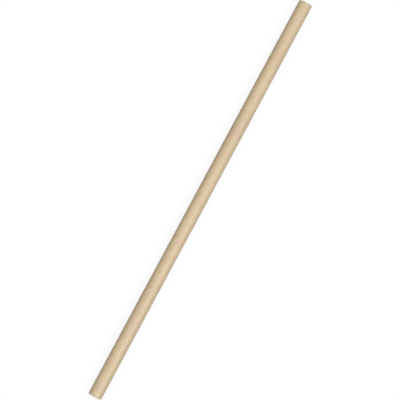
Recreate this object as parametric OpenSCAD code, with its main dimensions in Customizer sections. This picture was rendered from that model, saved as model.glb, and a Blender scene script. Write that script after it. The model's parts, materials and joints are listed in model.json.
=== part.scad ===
// Paper drinking straw, wound on the bias from three strips of kraft paper.
// It lies along X, with the origin under its middle, on the surface that it rests on.
// All sizes are in millimetres.

/* [Straw] */
// Length from one cut end to the other
straw_length = 197; // [60:1:260]
// Bore, which is the size of the mandrel that the strips are wound on
bore_d = 5.5; // [4:0.1:12]
// Depth of the narrow flat under the straw, which keeps it from rolling
rest_flat = 0.05; // [0.02:0.01:0.1]

/* [Plies] */
// Thickness of the inner strip
inner_ply = 0.17; // [0.1:0.01:0.3]
// Thickness of the middle strip
middle_ply = 0.17; // [0.1:0.01:0.3]
// Thickness of the outer strip
outer_ply = 0.085; // [0.06:0.005:0.2]

/* [Winding] */
// Advance along the straw in one full turn of a strip
lead = 25.4; // [18:0.2:60]
// Distance from the left end to where the outer strip's seam first crosses the top
outer_seam_start = 3.4; // [0:0.1:18]
// Distance from the left end to where the middle strip's seam first crosses the top
middle_seam_start = 13.4; // [0:0.1:18]
// Distance from the left end to where the inner strip's seam first crosses the top
inner_seam_start = 21.9; // [0:0.1:25]

/* [Seams] */
// How far the outer strip laps over its own edge, measured across the strip
outer_lap = 1.1; // [0.9:0.1:2]
// Height of the step at that lap, after the winding belt has pressed it down
outer_rise = 0.06; // [0.04:0.005:0.1]
// Width of the soft band where the middle strip's joint shows through
middle_band = 1.3; // [1:0.1:2.4]
// Height of that band
middle_rise = 0.05; // [0.02:0.005:0.08]
// Width of the soft band where the inner strip's joint shows through
inner_band = 1.6; // [1:0.1:2.4]
// Height of that band
inner_rise = 0.05; // [0.02:0.005:0.08]

/* [Hidden] */

kraft = "#d8bf97";
wall = inner_ply + middle_ply + outer_ply;
tube_r = bore_d / 2 + wall;
// Angle between a strip's edge and the straw's axis
bias_angle = atan(2 * PI * tube_r / lead);

// A seam is swept in steps, and its top is one step wide, so that its flats meet
// edge to edge round the straw
steps_per_turn = 30;
step_angle = 360 / steps_per_turn;
step_rise = lead / steps_per_turn;
// Share of a step that sets the steps off from the top line, so that no edge of one
// runs exactly over, under or beside the bore
step_phase = 1 / 8;
// Depth that a seam's section reaches into the wall, so that it is one with it
root = 0.05;
// Height of the straw's axis over the surface that it lies on
rest_r = tube_r - rest_flat;
// Top of the lying straw, seen in the section before it is laid down
top_angle = 180;
// Spare length at each end, which the knife takes off
trim = 3 * step_rise;
knife_width = 2 * (tube_r + 1);

// Point of a section, at an angle round the tube and a height over its skin
function skin_point(angle, height) = (tube_r + height) * [cos(angle), sin(angle)];

// Angle round the tube that a band takes up, from its width across the strip
function angle_of(band) = band / cos(bias_angle) / tube_r * 180 / PI;

// Sweeps a section up the straw in a right-handed twist, so that the seam first crosses
// the top at the given distance. Both ends of the sweep run past the straw's ends.
module wind(first_crossing) {
    steps_before = ceil(first_crossing / step_rise) + 1;
    steps_after = ceil((straw_length - first_crossing) / step_rise) + 1;
    steps = steps_before + steps_after;
    first_step = step_phase - steps_before;
    translate([0, 0, first_crossing + first_step * step_rise])
        rotate([0, 0, top_angle + first_step * step_angle])
            linear_extrude(height = steps * step_rise, twist = -steps * step_angle, slices = steps)
                children();
}

// The outer strip ends in a square cut edge on one side of its lap, and on the other
// it climbs over its own first edge in a ramp
module outer_seam() {
    cut_edge = -step_angle / 2;
    ramp_foot = cut_edge + angle_of(outer_lap);
    wind(outer_seam_start)
        polygon([
            skin_point(cut_edge, -root),
            skin_point(cut_edge, outer_rise),
            skin_point(step_angle / 2, outer_rise),
            skin_point(ramp_foot, -root)
        ]);
}

// A joint in an under strip only lifts the paper over it into a low band
module under_seam(first_crossing, band, rise) {
    foot = angle_of(band) / 2;
    wind(first_crossing)
        polygon([
            skin_point(-foot, -root),
            skin_point(-step_angle / 2, rise),
            skin_point(step_angle / 2, rise),
            skin_point(foot, -root)
        ]);
}

// The strips are wound tight on a smooth mandrel, so the bore is a true cylinder
module wound_wall() {
    translate([0, 0, -trim])
        rotate_extrude($fn = 96)
            translate([bore_d / 2, 0])
                square([wall, straw_length + 2 * trim]);
}

// The straw is wound as an endless tube, and a knife cuts it square at both ends.
// Its underside, at +X in the section, is pressed level with the surface it lies on.
module cut_to_length() {
    intersection() {
        union() {
            children();
        }
        translate([-knife_width / 2, -knife_width / 2, 0])
            cube([knife_width / 2 + rest_r, knife_width, straw_length]);
    }
}

module straw_tube() {
    color(kraft)
        translate([-straw_length / 2, 0, rest_r])
            rotate([0, 90, 0])
                cut_to_length() {
                    wound_wall();
                    outer_seam();
                    under_seam(middle_seam_start, middle_band, middle_rise);
                    under_seam(inner_seam_start, inner_band, inner_rise);
                }
}

straw_tube();
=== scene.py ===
# %% [markdown]
# # A paper drinking straw
#
# The object is one plain straw of natural kraft paper, 197 mm long and 6.35 mm across. A straw
# machine winds three strips of paper on the slant round a steel mandrel. It glues each strip over
# the joint of the one below and presses them with a belt, and a knife cuts the endless tube to
# length. What tells a wound straw from a plain tube is small: the lap where the outer strip crosses
# its own edge, two soft bands where the joints underneath show through, fibres that run along the
# strips, and the raw cut ends.
#
# This lesson winds that straw with Geometry Nodes, because every point of it follows one rule, and
# then makes the paper. Lengths are in metres, except where a comment says mm.

# %% Load the frame
import json
import math

import bmesh
import bpy
from mathutils import Matrix, Vector


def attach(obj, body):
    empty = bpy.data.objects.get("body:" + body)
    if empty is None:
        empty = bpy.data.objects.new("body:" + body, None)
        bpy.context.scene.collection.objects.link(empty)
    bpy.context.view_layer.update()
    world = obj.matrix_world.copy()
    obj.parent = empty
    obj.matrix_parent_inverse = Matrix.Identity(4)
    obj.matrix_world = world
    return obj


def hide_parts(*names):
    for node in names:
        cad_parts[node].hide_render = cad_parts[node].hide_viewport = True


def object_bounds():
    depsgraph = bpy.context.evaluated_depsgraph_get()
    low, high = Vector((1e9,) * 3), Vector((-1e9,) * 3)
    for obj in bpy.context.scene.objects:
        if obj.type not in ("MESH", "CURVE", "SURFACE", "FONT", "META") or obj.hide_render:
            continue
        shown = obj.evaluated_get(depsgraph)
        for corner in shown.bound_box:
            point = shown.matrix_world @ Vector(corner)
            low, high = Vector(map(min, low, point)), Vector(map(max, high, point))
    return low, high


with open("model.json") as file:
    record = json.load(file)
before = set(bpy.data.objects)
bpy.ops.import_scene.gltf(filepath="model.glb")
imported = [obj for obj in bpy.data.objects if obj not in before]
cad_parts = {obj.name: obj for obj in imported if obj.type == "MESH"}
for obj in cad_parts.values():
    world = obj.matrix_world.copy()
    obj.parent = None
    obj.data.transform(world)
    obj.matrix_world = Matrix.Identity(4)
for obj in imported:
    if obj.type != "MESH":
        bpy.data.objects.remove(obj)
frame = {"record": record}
cad_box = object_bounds()
scene = bpy.context.scene
print("box of the solid model:", [[round(x, 6) for x in corner] for corner in cad_box])

# %% [markdown]
# ## Sizes
#
# The record of the solid model holds the true sizes: the bore that the strips are wound on, the
# skin and the length. The sizes of the winding are read off the straw itself. They could be guessed
# by eye, but then the helix would not meet the same places as the solid's, so each one is a real
# length with a name.

# %% Sizes of the tube
MM = 0.001
mounts = {mount["name"]: mount for mount in frame["record"]["mounts"]}
bore_radius = mounts["bore"]["dims"]["r_mm"] * MM
skin_radius = mounts["outside"]["dims"]["r_mm"] * MM
straw_length = mounts["outside"]["dims"]["length_mm"] * MM
axis_height = mounts["outside"]["pos_m"][2]
wall = skin_radius - bore_radius
print(f"bore {2 * bore_radius / MM:.2f}, skin {2 * skin_radius / MM:.2f}, wall {wall / MM:.3f} mm")

# %% Sizes of the winding
TURN = 2 * math.pi
# One turn of a strip carries it this far along the straw
lead = 25.4 * MM
# The slant of a strip's edge against the straw's axis
bias = math.atan(TURN * skin_radius / lead)
# A strip is as wide as one turn leaves room for
strip_width = TURN * skin_radius * math.cos(bias)
# Where each edge or joint first crosses the top of the straw, from the left end
outer_edge = 3.82 * MM
middle_joint = 13.4 * MM
inner_joint = 21.9 * MM
# The lap is pressed as high as the solid model stands over its own skin
lap_rise = cad_box[1][2] - axis_height - skin_radius
lap_width = 1.1 * MM
# Widths of the bands over the joints underneath, and their height
middle_band = 1.3 * MM
inner_band = 1.6 * MM
band_rise = 0.042 * MM
print(f"slant {math.degrees(bias):.1f} degrees, strip {strip_width / MM:.2f} mm wide")
print(f"lap {lap_rise / MM:.3f} mm high and {lap_width / MM:.1f} mm wide")

# %% [markdown]
# ## Camera
#
# The straw is seen from straight above but for two degrees, because neither of its mouths shows and
# its lower end is a little nearer. A long lens half a metre away does that. The camera could be
# turned by hand until the picture fits. Here its lean is worked out instead: the straw's direction
# in the picture is a known angle, so the camera's own up is the straw's direction turned back by
# that angle.

# %% Place the camera
IMAGE_PX = 400
SENSOR_WIDTH_MM = 36
# Scale of the picture on the straw, and the place in it of the straw's middle
px_per_metre = 2263
middle_px = Vector((201.04, 198.39))
straw_lean = math.radians(28.22)
camera_distance = 0.49
camera_tilt = math.radians(2.25)


def place_camera():
    """A long lens over the straw, turned so that the straw leans as it does in the picture."""
    lens = bpy.data.cameras.new("product_lens")
    lens.sensor_width = SENSOR_WIDTH_MM
    lens.lens = lens.sensor_width * camera_distance * px_per_metre / IMAGE_PX
    lens.clip_start = 0.01
    camera = bpy.data.objects.new("product_camera", lens)
    scene.collection.objects.link(camera)
    toward_camera = Vector((-math.sin(camera_tilt), 0, math.cos(camera_tilt)))
    along = (Vector((1, 0, 0)) - toward_camera * toward_camera.x).normalized()
    beside = along.cross(toward_camera)
    up = math.cos(straw_lean) * along - math.sin(straw_lean) * beside
    right = math.sin(straw_lean) * along + math.cos(straw_lean) * beside
    off_centre = (middle_px - Vector((IMAGE_PX / 2, IMAGE_PX / 2))) / px_per_metre
    aim = Vector((0, 0, axis_height)) - right * off_centre.x + up * off_centre.y
    turn = Matrix((right, up, toward_camera)).transposed().to_4x4()
    camera.matrix_world = Matrix.Translation(aim + toward_camera * camera_distance) @ turn
    return camera


scene.camera = place_camera()
scene.view_settings.view_transform = "Standard"
print(f"lens {scene.camera.data.lens:.1f} mm, {camera_distance} m from the straw")

# %% [markdown]
# ## Node helpers
#
# Both the winding and the paper are node trees. Written out in full, a node, its settings and its
# links take five lines. A small helper makes each step of arithmetic one line, so that the rule can
# be read.

# %% A bench that adds and links nodes


class Bench:
    """Adds nodes to one tree. A value may be a number or another node's output."""

    def __init__(self, tree):
        self.tree = tree

    def node(self, kind, **settings):
        """Adds a node of a kind, with its settings."""
        made = self.tree.nodes.new(kind)
        for name, value in settings.items():
            setattr(made, name, value)
        return made

    def plug(self, socket, value):
        """Gives a socket its value, or links it to the output that the value comes from."""
        if isinstance(value, bpy.types.NodeSocket):
            self.tree.links.new(value, socket)
        else:
            socket.default_value = value

    def math(self, operation, *values, clamp=False):
        """One step of arithmetic. With clamp, the result is kept from 0 to 1."""
        made = self.node("ShaderNodeMath", operation=operation, use_clamp=clamp)
        for socket, value in zip(made.inputs, values):
            self.plug(socket, value)
        return made.outputs["Value"]

    def ramp(self, value, start, end, low, high, kind="SMOOTHSTEP"):
        """Goes from low to high while value goes from start to end, smoothly if kind is left."""
        made = self.node("ShaderNodeMapRange", interpolation_type=kind)
        for socket, number in zip(made.inputs, (value, start, end, low, high)):
            self.plug(socket, number)
        return made.outputs["Result"]

    def noise(self, vector, scale, detail=2.0, roughness=0.5):
        """Soft random values about a half, with this many cells in each unit of the vector."""
        made = self.node("ShaderNodeTexNoise")
        self.plug(made.inputs["Vector"], vector)
        self.plug(made.inputs["Scale"], scale)
        self.plug(made.inputs["Detail"], detail)
        self.plug(made.inputs["Roughness"], roughness)
        return made.outputs["Fac"]


print("a bench has:", ", ".join(name for name in vars(Bench) if not name.startswith("_")))

# %% [markdown]
# ## The winding, as a grid that is rolled up
#
# The straw is a ring in two ways: round its section, and from its skin over one cut end, back
# through the bore and over the other end. So a plain grid can be rolled into it. Its columns run
# along the winding and its rows go round the straw. The columns are turned with the strip, so that
# the cut edge of the outer strip lies exactly on a column and stays sharp. A tube with bands cut in
# by booleans was the other choice, but there the edge would cross the mesh on the slant and look
# like a saw.

# %% Start the winding tree and name its inputs
winding = bpy.data.node_groups.new("wind_straw", "GeometryNodeTree")
winding.interface.new_socket("Straw", in_out="OUTPUT", socket_type="NodeSocketGeometry")
winding_sizes = {
    "Length": straw_length,
    "Bore radius": bore_radius,
    "Skin radius": skin_radius,
    "Axis height": axis_height,
    "Lead": lead,
    "Outer edge": outer_edge,
    "Middle joint": middle_joint,
    "Inner joint": inner_joint,
    "Lap width": lap_width,
    "Lap rise": lap_rise,
    "Middle band": middle_band,
    "Middle rise": band_rise,
    "Inner band": inner_band,
    "Inner rise": band_rise,
    "Dent depth": 0.012 * MM,
    "Rim round": 0.035 * MM,
    "Glue line depth": 0.02 * MM,
}
winding_counts = {
    "Columns": 112,
    "Rows outside": 480,
    "Rows inside": 300,
    "Rows across an end": 20,
}
for name in winding_sizes:
    winding.interface.new_socket(name, in_out="INPUT", socket_type="NodeSocketFloat")
for name in winding_counts:
    winding.interface.new_socket(name, in_out="INPUT", socket_type="NodeSocketInt")
winding.interface.new_socket("Paper", in_out="INPUT", socket_type="NodeSocketMaterial")

roll = Bench(winding)
given = roll.node("NodeGroupInput").outputs
print("inputs of the winding:", len(winding_sizes) + len(winding_counts) + 1)

# %% Lay out the grid and number its rows and columns
end_rows = given["Rows across an end"]
bore_starts = roll.math("ADD", given["Rows outside"], end_rows)
bore_ends = roll.math("ADD", bore_starts, given["Rows inside"])
last_row = roll.math("ADD", bore_ends, end_rows)
last_column = roll.math("ADD", given["Columns"], 1)
grid = roll.node("GeometryNodeMeshGrid")
roll.plug(grid.inputs["Vertices X"], roll.math("ADD", last_row, 1))
roll.plug(grid.inputs["Vertices Y"], roll.math("ADD", last_column, 1))
# The grid's own map runs from 0 to 1 both ways, and stays with each corner when points are merged
grid_map = roll.node("ShaderNodeSeparateXYZ")
roll.plug(grid_map.inputs["Vector"], grid.outputs["UV Map"])
row = roll.math("ROUND", roll.math("MULTIPLY", grid_map.outputs["X"], last_row))
column = roll.math("ROUND", roll.math("MULTIPLY", grid_map.outputs["Y"], last_column))
row_total = winding_counts["Rows outside"] + winding_counts["Rows inside"]
row_total += 2 * winding_counts["Rows across an end"] + 1
column_total = winding_counts["Columns"] + 2
print(f"a grid of {row_total} by {column_total} points")

# %% [markdown]
# Followed from its skin into its bore, the paper turns over a cut end. So each row gets two numbers.
# `along` goes from 0 to 1 on the skin and back to 0 through the bore. `depth` is 0 on the skin and 1
# in the bore, and it changes only on the cut ends. A curve drawn round the wall could guide the rows
# too, but it would have to be redrawn for each size, and two clamped shares of the rows need not.

# %% Send the rows over the skin, an end, the bore and the other end


def share(first, count):
    """How much of a stretch of rows lies behind this row, from 0 to 1."""
    return roll.math("DIVIDE", roll.math("SUBTRACT", row, first), count, clamp=True)


out_along = share(0.0, given["Rows outside"])
back_along = share(bore_starts, given["Rows inside"])
along = roll.math("SUBTRACT", out_along, back_along)
into_bore = share(given["Rows outside"], end_rows)
out_of_bore = share(bore_ends, end_rows)
depth = roll.math("SUBTRACT", into_bore, out_of_bore)
row_gap = straw_length / winding_counts["Rows outside"]
print(f"rows on the skin lie {row_gap / MM:.2f} mm apart")

# %% [markdown]
# ## The cut ends
#
# A knife leaves a flat ring of raw paper with a slightly crushed rim, and the two glue lines between
# the three strips sit a little back. Separate rings could be modelled for the strips, but they are
# one glued wall, so the end is one surface that is drawn back by a few hundredths of a millimetre.

# %% Shape a cut end
inner_ply = 0.17 * MM
middle_ply = 0.17 * MM
outer_ply = wall - inner_ply - middle_ply
glue_lines = [outer_ply / wall, (outer_ply + middle_ply) / wall]
# Share of the wall that a glue line's groove takes on each side of the line
GLUE_GROOVE_SHARE = 0.08
wall_size = roll.math("SUBTRACT", given["Skin radius"], given["Bore radius"])
rim_side = roll.math("MINIMUM", depth, roll.math("SUBTRACT", 1.0, depth))
from_rim = roll.math("MULTIPLY", rim_side, wall_size)
drawn_back = roll.ramp(from_rim, 0.0, given["Rim round"], given["Rim round"], 0.0)
for glue_line in glue_lines:
    gap = roll.math("ABSOLUTE", roll.math("SUBTRACT", depth, glue_line))
    groove = roll.ramp(gap, 0.0, GLUE_GROOVE_SHARE, given["Glue line depth"], 0.0)
    drawn_back = roll.math("ADD", drawn_back, groove)
half_length = roll.math("SUBTRACT", roll.math("DIVIDE", given["Length"], 2.0), drawn_back)
centred = roll.math("MULTIPLY_ADD", along, 2.0, -1.0)
x = roll.math("MULTIPLY", centred, half_length)
print("glue lines at these shares of the wall:", [round(line, 2) for line in glue_lines])

# %% [markdown]
# ## The helix
#
# The angle of a point is counted from the straw's underside and has two parts. One is the turn of
# the outer strip's edge at that place along the straw. The other, `round_strip`, goes once round
# from that edge, and so it is also the place across the strip. The last column but one stops a hair
# before the full turn: its gap to the last one is the paper's cut edge, which is a step and not a
# slope.

# %% Turn each column with the strip
# The top of the straw is half a turn from its underside
TOP_ANGLE = math.pi
edge_gap = 0.015 * MM
gap_angle = roll.math("DIVIDE", edge_gap, given["Skin radius"])
even_turn = roll.math("MULTIPLY", roll.math("DIVIDE", column, given["Columns"]), TURN)
stops_short = roll.math("MINIMUM", even_turn, roll.math("SUBTRACT", TURN, gap_angle))
is_last = roll.math("GREATER_THAN", column, given["Columns"])
round_strip = roll.math("ADD", stops_short, roll.math("MULTIPLY", is_last, gap_angle))
# The last column lies on the first, so it counts as the start of the strip
from_edge = roll.math("MULTIPLY", round_strip, roll.math("SUBTRACT", 1.0, is_last))
from_left = roll.math("ADD", x, roll.math("DIVIDE", given["Length"], 2.0))
turns = roll.math("DIVIDE", roll.math("SUBTRACT", from_left, given["Outer edge"]), given["Lead"])
edge_angle = roll.math("MULTIPLY_ADD", turns, TURN, TOP_ANGLE)
angle = roll.math("ADD", edge_angle, round_strip)
print(f"a strip goes {straw_length / lead:.2f} times round the straw")

# %% [markdown]
# ## The lap and the bands
#
# The outer strip laps over its own first edge. The lap has a cut edge on one side and a ramp on the
# other. A joint underneath only lifts the paper over it into a low, soft band. Both are heights over
# the skin that depend on nothing but the distance across the strip, and that is why the grid is laid
# along it.

# %% Raise the lap
# Share of the lap's width that is level before the ramp begins
LEVEL_SHARE = 0.3
turn_length = roll.math("MULTIPLY", given["Skin radius"], TURN)
slant = roll.math("ARCTANGENT", roll.math("DIVIDE", turn_length, given["Lead"]))
across_scale = roll.math("MULTIPLY", given["Skin radius"], roll.math("COSINE", slant))
across = roll.math("MULTIPLY", from_edge, across_scale)
ramp_start = roll.math("MULTIPLY", given["Lap width"], LEVEL_SHARE)
height = roll.ramp(across, ramp_start, given["Lap width"], given["Lap rise"], 0.0)
print(f"the lap stays level for {LEVEL_SHARE * lap_width / MM:.2f} mm, then goes down")

# %% Raise the bands over the joints underneath


def angle_of_joint(joint):
    """The angle from the outer edge to a joint that crosses the top somewhere else."""
    distance_before = roll.math("SUBTRACT", given["Outer edge"], given[joint])
    turns_before = roll.math("DIVIDE", distance_before, given["Lead"])
    return roll.math("MULTIPLY", roll.math("FRACT", turns_before), TURN)


def distance_from_joint(joint):
    """The distance across the strip from a joint underneath."""
    joint_across = roll.math("MULTIPLY", angle_of_joint(joint), across_scale)
    return roll.math("ABSOLUTE", roll.math("SUBTRACT", across, joint_across))


for layer in ("Middle", "Inner"):
    half_band = roll.math("DIVIDE", given[layer + " band"], 2.0)
    from_joint = distance_from_joint(layer + " joint")
    lift = roll.ramp(from_joint, 0.0, half_band, given[layer + " rise"], 0.0)
    height = roll.math("ADD", height, lift)
    rise = winding_sizes[layer + " rise"]
    print(f"{layer.lower()} band {rise / MM:.3f} mm high")

# %% [markdown]
# The skin also has very shallow dents from handling, and in the bore the inner strip's two edges
# meet in a fine groove instead of a band. Bump could show both, but it would leave the outline and
# the mouth perfectly even, so they are in the mesh. The dents only go inwards, which keeps the
# straw's size. Their noise is read at each point's place in space, and so it closes round the straw.

# %% Add dents, and the joint that shows in the bore
DENTS_PER_METRE = 130
groove_width = 0.3 * MM
groove_depth = 0.03 * MM
skin_point = roll.node("ShaderNodeCombineXYZ")
beside_axis = roll.math("MULTIPLY", given["Skin radius"], roll.math("SINE", angle))
below_axis = roll.math("MULTIPLY", given["Skin radius"], roll.math("COSINE", angle))
roll.plug(skin_point.inputs["X"], x)
roll.plug(skin_point.inputs["Y"], beside_axis)
roll.plug(skin_point.inputs["Z"], below_axis)
dents = roll.noise(skin_point.outputs["Vector"], DENTS_PER_METRE, detail=1.0)
height = roll.math("SUBTRACT", height, roll.math("MULTIPLY", dents, given["Dent depth"]))
groove = roll.ramp(distance_from_joint("Inner joint"), 0.0, groove_width, groove_depth, 0.0)
plain_radius = roll.math("SUBTRACT", given["Skin radius"], roll.math("MULTIPLY", depth, wall_size))
skin_share = roll.math("MULTIPLY", height, roll.math("SUBTRACT", 1.0, depth))
bore_share = roll.math("MULTIPLY", groove, depth)
radius = roll.math("ADD", plain_radius, roll.math("ADD", skin_share, bore_share))
print(f"dents up to {winding_sizes['Dent depth'] / MM} mm deep, {1 / DENTS_PER_METRE / MM:.0f} mm apart")

# %% [markdown]
# ## Roll the grid up
#
# On the machine the mandrel makes the paper round. A bending modifier could roll the grid as well,
# but it knows nothing of laps and dents. Here each point already has a place along the straw, an
# angle and a radius, and sine and cosine turn them into its place in space. The straw lies on a
# narrow flat, where the paper gives a little, so a point below the floor is lifted level with it.

# %% Set the points
place = roll.node("ShaderNodeCombineXYZ")
roll.plug(place.inputs["X"], x)
roll.plug(place.inputs["Y"], roll.math("MULTIPLY", radius, roll.math("SINE", angle)))
drop = roll.math("MULTIPLY", radius, roll.math("COSINE", angle))
above_floor = roll.math("MAXIMUM", roll.math("SUBTRACT", given["Axis height"], drop), 0.0)
roll.plug(place.inputs["Z"], above_floor)
rolled = roll.node("GeometryNodeSetPosition")
roll.plug(rolled.inputs["Geometry"], grid.outputs["Mesh"])
roll.plug(rolled.inputs["Position"], place.outputs["Vector"])
flat_depth = skin_radius - axis_height
print(f"the flat underneath is {flat_depth / MM:.3f} mm deep")

# %% [markdown]
# ## What the paper needs to know
#
# Fibres lie along a strip, so the paper's pattern has to follow the strip and not the straw. An
# ordinary unwrap would cut the tube into patches that know nothing of strips. So the winding gives
# the mesh a map in mm of its own: the first number runs along the strip, the second across it. In
# the bore it starts at the inner strip's joint. `ply_depth` tells the skin from the cut ends and the
# bore. Both are stored on the corners of faces before points are merged, so nothing is averaged
# where a strip's far edge meets its near one.

# %% Store the strip's map and the depth in the wall


def store(mesh, name, kind, value):
    """Keeps a value on the corners of the faces, under a name that the material reads."""
    made = roll.node("GeometryNodeStoreNamedAttribute", data_type=kind, domain="CORNER")
    roll.plug(made.inputs["Geometry"], mesh)
    made.inputs["Name"].default_value = name
    roll.plug(made.inputs["Value"], value)
    return made.outputs["Geometry"]


# Half way through the wall the map changes from the outer strip to the inner one
HALF_WAY_IN = 0.5
past_joint = roll.math("SUBTRACT", round_strip, angle_of_joint("Inner joint"))
turns_past = roll.math("FRACT", roll.math("DIVIDE", past_joint, TURN))
inner_turn = roll.math("MULTIPLY", turns_past, TURN)
in_bore = roll.math("GREATER_THAN", depth, HALF_WAY_IN)
turn_gap = roll.math("SUBTRACT", inner_turn, round_strip)
strip_turn = roll.math("MULTIPLY_ADD", in_bore, turn_gap, round_strip)
arc = roll.math("MULTIPLY", strip_turn, given["Skin radius"])
slant_length = roll.math("DIVIDE", from_left, roll.math("COSINE", slant))
arc_along = roll.math("MULTIPLY", arc, roll.math("SINE", slant))
arc_across = roll.math("MULTIPLY", arc, roll.math("COSINE", slant))
strip_map = roll.node("ShaderNodeCombineXYZ")
roll.plug(strip_map.inputs["X"], roll.math("DIVIDE", roll.math("ADD", slant_length, arc_along), MM))
roll.plug(strip_map.inputs["Y"], roll.math("DIVIDE", arc_across, MM))
mapped = store(rolled.outputs["Geometry"], "strip_map", "FLOAT2", strip_map.outputs["Vector"])
mapped = store(mapped, "ply_depth", "FLOAT", depth)
print(f"the map is {strip_width / MM:.2f} mm wide, as a strip is")

# %% [markdown]
# ## Close the surface
#
# Once every point is in its place, the first and last rows and columns coincide, and merging them
# closes the surface. Shading is smooth all over but where the surface bends hard, which is at the cut
# edge of the lap and in the glue lines. Edges could be picked by hand, but then they would be wrong
# as soon as a size changes, so the angle of each edge decides.

# %% Merge, turn the faces outwards and shade them
merge_within = 0.001 * MM
sharp_over = math.radians(50)
merged = roll.node("GeometryNodeMergeByDistance")
roll.plug(merged.inputs["Geometry"], mapped)
roll.plug(merged.inputs["Distance"], merge_within)
# The grid faces +Z, which is inwards once it is rolled up
flipped = roll.node("GeometryNodeFlipFaces")
roll.plug(flipped.inputs["Mesh"], merged.outputs["Geometry"])
smooth = roll.node("GeometryNodeSetShadeSmooth", domain="FACE")
roll.plug(smooth.inputs["Geometry"], flipped.outputs["Mesh"])
bend = roll.node("GeometryNodeInputMeshEdgeAngle")
is_sharp = roll.math("GREATER_THAN", bend.outputs["Unsigned Angle"], sharp_over)
creased = roll.node("GeometryNodeSetShadeSmooth", domain="EDGE")
roll.plug(creased.inputs["Geometry"], smooth.outputs["Geometry"])
roll.plug(creased.inputs["Selection"], is_sharp)
creased.inputs["Shade Smooth"].default_value = False
print(f"edges stay sharp where the surface bends more than {math.degrees(sharp_over):.0f} degrees")

# %% End the tree
realized = roll.node("GeometryNodeRealizeInstances")
roll.plug(realized.inputs["Geometry"], creased.outputs["Geometry"])
papered = roll.node("GeometryNodeSetMaterial")
roll.plug(papered.inputs["Geometry"], realized.outputs["Geometry"])
roll.plug(papered.inputs["Material"], given["Paper"])
finished = roll.node("NodeGroupOutput")
roll.plug(finished.inputs["Straw"], papered.outputs["Geometry"])
print("nodes in the winding:", len(winding.nodes))

# %% [markdown]
# ## Kraft paper
#
# Natural kraft is unbleached pulp: a warm tan, cloudy where the pulp lay thicker, streaked along the
# machine direction by its fibres, with a few dark specks of bark. A picture of paper would repeat and
# blur, so the paper is built from noise, each kind at its true size. The clouds lie anyhow, so their
# noise is read at the point's own place. Streaks and fibres follow the strip, so theirs is read on
# the strip's map, with fewer cells along it than across it, which draws each one out.

# %% Start the paper and read its maps
paper = bpy.data.materials.new("kraft_paper")
paper.use_nodes = True
paper.node_tree.nodes.clear()
pulp = Bench(paper.node_tree)
strip = pulp.node("ShaderNodeAttribute", attribute_name="strip_map")
wall_depth = pulp.node("ShaderNodeAttribute", attribute_name="ply_depth")
strip_uv = pulp.node("ShaderNodeSeparateXYZ")
pulp.plug(strip_uv.inputs["Vector"], strip.outputs["Vector"])
across_strip = strip_uv.outputs["Y"]
depth_in_wall = wall_depth.outputs["Fac"]
object_place = pulp.node("ShaderNodeTexCoord").outputs["Object"]
print("the paper reads:", strip.attribute_name, "and", wall_depth.attribute_name)

# %% Make the noises of the pulp


def strip_noise(along, across, detail=2.0, roughness=0.5):
    """Noise that follows the strip, with so many cells in a mm along it and across it."""
    drawn_out = pulp.node("ShaderNodeMapping")
    pulp.plug(drawn_out.inputs["Vector"], strip.outputs["Vector"])
    pulp.plug(drawn_out.inputs["Scale"], (along, across, 1.0))
    return pulp.noise(drawn_out.outputs["Vector"], 1.0, detail=detail, roughness=roughness)


slow_tone = pulp.noise(object_place, scale=45.0, detail=1.0)
pulp_hue = pulp.noise(object_place, scale=260.0, detail=4.0, roughness=0.7)
clouds = pulp.noise(object_place, scale=480.0, detail=4.0, roughness=0.65)
grain = pulp.noise(object_place, scale=2100.0, detail=2.0)
warmth = strip_noise(along=0.35, across=0.6, detail=4.0, roughness=0.7)
streaks = strip_noise(along=0.2, across=1.7, detail=3.0, roughness=0.6)
fibres = strip_noise(along=0.8, across=5.0, detail=4.0, roughness=0.65)
hairs = strip_noise(along=2.4, across=26.0, detail=2.0)
bark = strip_noise(along=0.8, across=2.2, detail=1.0)
print("noises of the pulp:", sum(node.type == "TEX_NOISE" for node in paper.node_tree.nodes))

# %% [markdown]
# ## The colour of the skin
#
# The paper's tone goes between a pale and a deep tan, and every noise sways it a little. One noise
# for all would look like camouflage. The hue wanders as well, because pulps of many woods never mix
# evenly: on one noise from rose to olive, on another from amber to straw. Those colours are close to
# 1 and are multiplied in, so that they turn the hue and leave the tone nearly alone.

# %% Sway the tone between pale and deep
# Noise lies between 0 and 1, about this value
NOISE_MIDDLE = 0.5


def tint(base, amount, colour, blend="MIX"):
    """Lays a colour over another, or multiplies it in, by an amount from 0 to 1."""
    made = pulp.node("ShaderNodeMix", data_type="RGBA", blend_type=blend)
    sockets = {socket.identifier: socket for socket in [*made.inputs, *made.outputs]}
    pulp.plug(sockets["Factor_Float"], amount)
    pulp.plug(sockets["A_Color"], base)
    pulp.plug(sockets["B_Color"], colour)
    return sockets["Result_Color"]


def follow(noise, reach, low, high):
    """Goes smoothly from low to high while a noise goes from reach below its middle to reach above."""
    return pulp.ramp(noise, NOISE_MIDDLE - reach, NOISE_MIDDLE + reach, low, high)


PALE_PULP = (0.744, 0.574, 0.366, 1.0)
DEEP_PULP = (0.571, 0.428, 0.253, 1.0)
MIDDLE_TONE = 0.5
# A noise, how far it mostly reaches from its middle, and how far it sways the tone each way
tone_layers = [
    (slow_tone, 0.2, 0.1),
    (clouds, 0.2, 0.1),
    (streaks, 0.2, 0.25),
    (fibres, 0.25, 0.3),
    (hairs, 0.2, 0.16),
    (grain, 0.2, 0.19),
]
tone = MIDDLE_TONE
for noise, reach, sway in tone_layers:
    tone = pulp.math("ADD", tone, follow(noise, reach, -sway, sway))
skin_colour = tint(PALE_PULP, tone, DEEP_PULP)
print("noises that sway the tone:", len(tone_layers))

# %% Turn the hue and scatter specks of bark
TO_ROSE = (1.045, 0.96, 1.078, 1.0)
TO_OLIVE = (0.947, 1.019, 0.905, 1.0)
TO_AMBER = (1.036, 0.998, 0.90, 1.0)
TO_STRAW = (0.958, 1.01, 1.12, 1.0)
BARK = (0.38, 0.27, 0.15, 1.0)
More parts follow.
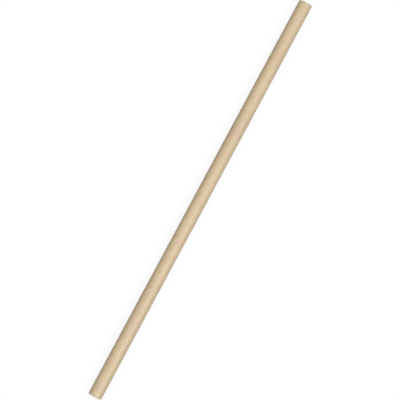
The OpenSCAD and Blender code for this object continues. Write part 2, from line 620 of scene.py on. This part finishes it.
# How far from its middle a noise shows a hue in full
FULL_HUE = 0.22
# Noise values where a speck begins and where it is darkest, and how much bark shows there
SPECK_EDGE = 0.73
SPECK_HEART = 0.8
SPECK_STRENGTH = 0.5
hues = [(pulp_hue, TO_ROSE, TO_OLIVE), (warmth, TO_AMBER, TO_STRAW)]
for noise, over_middle, under_middle in hues:
    over = pulp.ramp(noise, NOISE_MIDDLE, NOISE_MIDDLE + FULL_HUE, 0.0, 1.0)
    under = pulp.ramp(noise, NOISE_MIDDLE - FULL_HUE, NOISE_MIDDLE, 1.0, 0.0)
    skin_colour = tint(skin_colour, over, over_middle, "MULTIPLY")
    skin_colour = tint(skin_colour, under, under_middle, "MULTIPLY")
specks = pulp.ramp(bark, SPECK_EDGE, SPECK_HEART, 0.0, 1.0)
skin_colour = tint(skin_colour, pulp.math("MULTIPLY", specks, SPECK_STRENGTH), BARK)
print("pairs of hues:", len(hues))

# %% [markdown]
# ## The seams in the paper
#
# The paper that stands up, at the lap and over the joints underneath, is painted a touch paler: a
# painted highlight where light catches the raised paper. The cut edge of the outer strip throws a line
# of shade on the paper beside it and lets the glue show, more in some places than in others. The mesh
# has the step, but it is finer than a pixel of most pictures, so the line is painted in the paper too,
# as painted shade with the glue. The map across the strip tells how far each seam is, in mm.

# %% Paint a highlight on the lap and the bands
# Depth in the wall, from 0 to 1, at which the skin ends
SKIN_ENDS = 0.02
# How much the lap and the bands are painted paler, as a painted highlight
LAP_HIGHLIGHT_STRENGTH = 0.12
BAND_HIGHLIGHT_STRENGTH = 0.16
# Where the lap's painted highlight begins to fade, and how far past the lap it goes, in mm
LAP_HIGHLIGHT_FADES = 0.75
PAST_THE_LAP = 0.15
on_skin = pulp.math("LESS_THAN", depth_in_wall, SKIN_ENDS)
strip_width_mm = strip_width / MM
highlight_ends = lap_width / MM + PAST_THE_LAP
# Painted highlight on the lap: its skin is tinted towards the pale pulp
lap_highlight = pulp.ramp(across_strip, LAP_HIGHLIGHT_FADES, highlight_ends, LAP_HIGHLIGHT_STRENGTH, 0.0)
skin_colour = tint(skin_colour, pulp.math("MULTIPLY", lap_highlight, on_skin), PALE_PULP)
# Each band over a joint gets a painted highlight the same way
for first_crossing, band in ((middle_joint, middle_band), (inner_joint, inner_band)):
    joint_at = (outer_edge - first_crossing) / lead % 1.0 * strip_width_mm
    away = pulp.math("ABSOLUTE", pulp.math("SUBTRACT", across_strip, joint_at))
    band_highlight = pulp.ramp(away, 0.0, band / 2 / MM, BAND_HIGHLIGHT_STRENGTH, 0.0)
    skin_colour = tint(skin_colour, pulp.math("MULTIPLY", band_highlight, on_skin), PALE_PULP)
    print(f"a band {band / MM:.1f} mm wide, {joint_at:.1f} mm from the outer strip's edge")

# %% Paint a line of shade along the seam, with glue showing in it
# A dark glue colour: at the seam it is painted shade with glue, elsewhere it is glue and a dark joint
GLUE_AND_SHADE = (0.45, 0.33, 0.19, 1.0)
# Width of the line in mm, and how strong it is where the strip stands off a little
SEAM_LINE_WIDTH = 0.2
SEAM_LINE_STRENGTH = 0.6
# Share of that strength where the strip is glued down tight
GLUED_DOWN_SHARE = 0.5
to_far_edge = pulp.math("SUBTRACT", strip_width_mm, across_strip)
seam_shade_and_glue = pulp.ramp(to_far_edge, 0.0, SEAM_LINE_WIDTH, SEAM_LINE_STRENGTH, 0.0)
seam_shade_and_glue = pulp.math("MULTIPLY", seam_shade_and_glue, on_skin)
stands_off = follow(strip_noise(along=0.09, across=0.0), 0.1, GLUED_DOWN_SHARE, 1.0)
# Painted shade beside the outer strip's cut edge, with glue in it, stronger where the strip stands off
skin_colour = tint(skin_colour, pulp.math("MULTIPLY", seam_shade_and_glue, stands_off), GLUE_AND_SHADE)
print(f"a seam line of {SEAM_LINE_WIDTH} mm")

# %% [markdown]
# ## The paper at the ends and in the bore
#
# For about a millimetre from each cut the paper is made a little darker and greyer. The cut end
# itself shows raw paper, paler and rougher than the rolled skin, with two lines of glue. In the bore
# the inner strip's edges meet in a dark line. Each of these could be a material of its own, but then
# their borders would be hard. Here they are laid over the skin's colour by the distance from the cut,
# the depth in the wall and the strip's map.

# %% Darken and grey the paper near the cuts, and draw the joint in the bore
TO_DARKER_GREY = (0.92, 0.99, 1.08, 1.0)
# How far from the cut the darkening is full, and where it ends
darkening_full = 0.3 * MM
darkening_ends = 1.1 * MM
# Distances from the joint in the bore, in mm, between which its line fades
BORE_LINE_CORE = 0.03
BORE_LINE_EDGE = 0.16
BORE_LINE_STRENGTH = 0.6
place_along = pulp.node("ShaderNodeSeparateXYZ")
pulp.plug(place_along.inputs["Vector"], object_place)
from_middle = pulp.math("ABSOLUTE", place_along.outputs["X"])
from_cut = pulp.math("SUBTRACT", straw_length / 2, from_middle)
# The skin is made darker and greyer towards each cut
darkened = pulp.ramp(from_cut, darkening_full, darkening_ends, 1.0, 0.0)
skin_colour = tint(skin_colour, darkened, TO_DARKER_GREY, "MULTIPLY")
in_the_bore = pulp.math("GREATER_THAN", depth_in_wall, 1.0 - SKIN_ENDS)
from_bore_joint = pulp.math("MINIMUM", across_strip, to_far_edge)
bore_line = pulp.ramp(from_bore_joint, BORE_LINE_CORE, BORE_LINE_EDGE, BORE_LINE_STRENGTH, 0.0)
skin_colour = tint(skin_colour, pulp.math("MULTIPLY", bore_line, in_the_bore), GLUE_AND_SHADE)
print(f"bruised for {darkening_ends / MM:.1f} mm from each cut")

# %% Give the cut ends raw paper with two glue lines
RAW_CUT = (0.80, 0.65, 0.45, 1.0)
# Depth in the wall at which the raw paper shows in full
RAW_BEGINS = 0.06
# How much of the deep tan the raw paper's own grain brings in
RAW_GRAIN = 0.7
# Distances from a glue line, in shares of the wall, between which it fades
GLUE_CORE = 0.015
GLUE_EDGE = 0.06
GLUE_STRENGTH = 0.8
past_skin = pulp.ramp(depth_in_wall, SKIN_ENDS, RAW_BEGINS, 0.0, 1.0)
before_bore = pulp.ramp(depth_in_wall, 1.0 - RAW_BEGINS, 1.0 - SKIN_ENDS, 1.0, 0.0)
on_end = pulp.math("MULTIPLY", past_skin, before_bore)
cut_grain = pulp.noise(object_place, scale=9000.0, detail=3.0)
end_colour = tint(RAW_CUT, follow(cut_grain, 0.15, 0.0, RAW_GRAIN), DEEP_PULP)
for glue_line in glue_lines:
    away = pulp.math("ABSOLUTE", pulp.math("SUBTRACT", depth_in_wall, glue_line))
    end_colour = tint(end_colour, pulp.ramp(away, GLUE_CORE, GLUE_EDGE, GLUE_STRENGTH, 0.0), GLUE_AND_SHADE)
colour = tint(skin_colour, on_end, end_colour)
print("glue lines on each cut end:", len(glue_lines))

# %% [markdown]
# ## Gloss and bump
#
# Kraft paper for straws is pressed between rollers, so it is matte with a faint gloss, and the
# fibres that still stand up are a little rougher than the pulp between them. A fibre is about a
# hundredth of a millimetre high. A mesh that fine would be huge for something that only shows in how
# light breaks on it, so the fibres are bump, while the lap, the bands and the glue lines are in the
# mesh.

# %% Join colour, gloss and bump in the shader
fibre_height = 0.012 * MM
BUMP_STRENGTH = 0.6
GLOSS_LEVEL = 0.6
# Roughness of the pressed pulp, and of the fibres that stand up
PULP_ROUGHNESS = 0.38
FIBRE_ROUGHNESS = 0.48
# Share of the raw paper's grain in the bump
GRAIN_IN_BUMP = 0.4
shader = pulp.node("ShaderNodeBsdfPrincipled")
shader.inputs["Specular IOR Level"].default_value = GLOSS_LEVEL
pulp.plug(shader.inputs["Base Color"], colour)
pulp.plug(shader.inputs["Roughness"], follow(fibres, 0.2, PULP_ROUGHNESS, FIBRE_ROUGHNESS))
bump = pulp.node("ShaderNodeBump")
bump.inputs["Strength"].default_value = BUMP_STRENGTH
bump.inputs["Distance"].default_value = fibre_height
relief = pulp.math("ADD", fibres, pulp.math("MULTIPLY", cut_grain, GRAIN_IN_BUMP))
pulp.plug(bump.inputs["Height"], relief)
pulp.plug(shader.inputs["Normal"], bump.outputs["Normal"])
paper_out = pulp.node("ShaderNodeOutputMaterial")
pulp.plug(paper_out.inputs["Surface"], shader.outputs["BSDF"])
print("nodes in the paper:", len(paper.node_tree.nodes))

# %% [markdown]
# ## Wind the straw
#
# The tree could stay on the straw as a live modifier. But the straw won't change any more, so the
# tree is run once and its result is kept as a plain mesh. The check after it asks what a maker would
# ask of the real tube: is it closed everywhere, does it face outwards, and is it the right size?

# %% Run the winding and keep its mesh


def wind_straw():
    """Runs the winding tree and returns the straw as a plain mesh object."""
    blank = bpy.data.meshes.new("blank")
    straw = bpy.data.objects.new("paper_straw", blank)
    scene.collection.objects.link(straw)
    modifier = straw.modifiers.new("Winding", "NODES")
    modifier.node_group = winding
    values = {**winding_sizes, **winding_counts, "Paper": paper}
    for item in winding.interface.items_tree:
        if item.in_out == "INPUT":
            modifier[item.identifier] = values[item.name]
    depsgraph = bpy.context.evaluated_depsgraph_get()
    wound = straw.evaluated_get(depsgraph)
    mesh = bpy.data.meshes.new_from_object(wound, preserve_all_data_layers=True, depsgraph=depsgraph)
    straw.modifiers.clear()
    straw.data = mesh
    bpy.data.meshes.remove(blank)
    mesh.name = "paper_straw"
    # A grid begins with an empty slot for a material, and no face uses it
    mesh.materials.pop(index=0)
    return straw


straw = wind_straw()
print(f"{straw.name}: {len(straw.data.vertices)} points, paper {straw.data.materials[0].name}")

# %% Check that it is closed and faces outwards


def measure(piece):
    """Open edges, volume in cubic millimetres and number of triangles of a mesh.

    The volume depends on how the four-sided faces are split. So they are split here as they are
    when the mesh is rendered or exported, between their first and third corners.
    """
    solid = bmesh.new()
    solid.from_mesh(piece.data)
    bmesh.ops.triangulate(solid, faces=solid.faces[:], quad_method="FIXED")
    open_edges = sum(not edge.is_manifold for edge in solid.edges)
    volume = solid.calc_volume(signed=True) / MM**3
    triangles = len(solid.faces)
    solid.free()
    return open_edges, volume, triangles


open_edges, volume, triangles = measure(straw)
print(f"open edges {open_edges}, volume {volume:.1f} cubic mm, triangles {triangles}")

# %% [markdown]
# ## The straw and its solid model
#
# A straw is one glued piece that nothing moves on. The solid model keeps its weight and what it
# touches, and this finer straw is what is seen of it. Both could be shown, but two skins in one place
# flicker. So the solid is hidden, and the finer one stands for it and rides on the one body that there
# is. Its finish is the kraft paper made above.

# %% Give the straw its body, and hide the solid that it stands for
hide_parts("straw_tube")
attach(straw, "root")
print(f"{straw.name} stands for the solid straw")

# %% [markdown]
# ## Floor
#
# The straw lies on plain white. A floor painted white would also throw much light up at the straw
# and wash out its shaded sides. So the floor has two parts: a dark grey that takes the straw's soft
# shade and throws back a little light, and a glow that only the camera and reflections see. Together
# they are just white, so that the lightest shade still shows.

# %% Lay the floor
FLOOR_SIZE = 6.0
FLOOR_GREY = 0.12
FLOOR_GLOW = 0.886
floor_mesh = bpy.data.meshes.new("floor")
half_floor = FLOOR_SIZE / 2
corners = [(-half_floor, -half_floor, 0), (half_floor, -half_floor, 0)]
corners += [(half_floor, half_floor, 0), (-half_floor, half_floor, 0)]
floor_mesh.from_pydata(corners, [], [(0, 1, 2, 3)])
floor = bpy.data.objects.new("floor", floor_mesh)
scene.collection.objects.link(floor)
print(f"a floor of {FLOOR_SIZE} m by {FLOOR_SIZE} m")

# %% Give the floor its grey and its glow


def seen_directly(bench):
    """1 for rays from the camera, and for those that show a background in gloss or glass."""
    path = bench.node("ShaderNodeLightPath").outputs
    gloss_or_glass = bench.math("MAXIMUM", path["Is Glossy Ray"], path["Is Transmission Ray"])
    return bench.math("MAXIMUM", path["Is Camera Ray"], gloss_or_glass)


ground = bpy.data.materials.new("white_floor")
ground.use_nodes = True
ground.node_tree.nodes.clear()
tray = Bench(ground.node_tree)
matte = tray.node("ShaderNodeBsdfDiffuse")
matte.inputs["Color"].default_value = (FLOOR_GREY, FLOOR_GREY, FLOOR_GREY, 1)
glow = tray.node("ShaderNodeEmission")
tray.plug(glow.inputs["Strength"], tray.math("MULTIPLY", seen_directly(tray), FLOOR_GLOW))
both = tray.node("ShaderNodeAddShader")
for socket, part in zip(both.inputs, (matte.outputs["BSDF"], glow.outputs["Emission"])):
    tray.plug(socket, part)
tray.plug(tray.node("ShaderNodeOutputMaterial").inputs["Surface"], both.outputs["Shader"])
floor_mesh.materials.append(ground)
print(f"floor: grey {FLOOR_GREY}, glow {FLOOR_GLOW}")

# %% [markdown]
# ## Light
#
# The straw is lit as in a light tent: brightest a little to the right of its ridge, and softly shaded
# on both sides. One lamp could give either the bright line or the soft sides. So a very wide key
# hangs straight above, a narrower and slightly cooler lamp stands to the straw's right and down the
# picture, and a weak even sky fills the rest. The camera sees that sky as white.

# %% Make the sky of the tent
SKY_LIGHT = 0.225
tent = bpy.data.worlds.new("light_tent")
tent.use_nodes = True
tent.node_tree.nodes.clear()
sky = Bench(tent.node_tree)
white = sky.node("ShaderNodeBackground")
sky.plug(white.inputs["Strength"], sky.ramp(seen_directly(sky), 0.0, 1.0, SKY_LIGHT, 1.0, kind="LINEAR"))
sky.plug(sky.node("ShaderNodeOutputWorld").inputs["Surface"], white.outputs["Background"])
white.inputs["Color"].default_value = (1, 1, 1, 1)
scene.world = tent
print(f"sky: lights at {SKY_LIGHT}, shows as 1")

# %% Hang the two lamps


def hang_lamp(name, strength, tone, width, lean_right, lean_down):
    """A round lamp far above, its width and its lean from straight overhead in degrees.

    It leans to the straw's right, and down the picture along the straw.
    """
    light = bpy.data.lights.new(name, "SUN")
    light.energy = strength
    light.color = tone
    light.angle = math.radians(width)
    lamp = bpy.data.objects.new(name, light)
    lamp.rotation_euler = (math.radians(lean_right), -math.radians(lean_down), 0)
    scene.collection.objects.link(lamp)
    print(f"{name}: strength {strength}, {width} degrees wide")


WARM_WHITE = (1.0, 0.99, 0.96)
COOL_WHITE = (0.95, 1.0, 1.14)
hang_lamp("wide_key", 1.58, WARM_WHITE, width=105, lean_right=0, lean_down=0)
hang_lamp("side_lamp", 1.02, COOL_WHITE, width=28, lean_right=34, lean_down=14)

# %% [markdown]
# ## Sizes of the finished straw
#
# Paint and bump never change a size, but a mesh can.
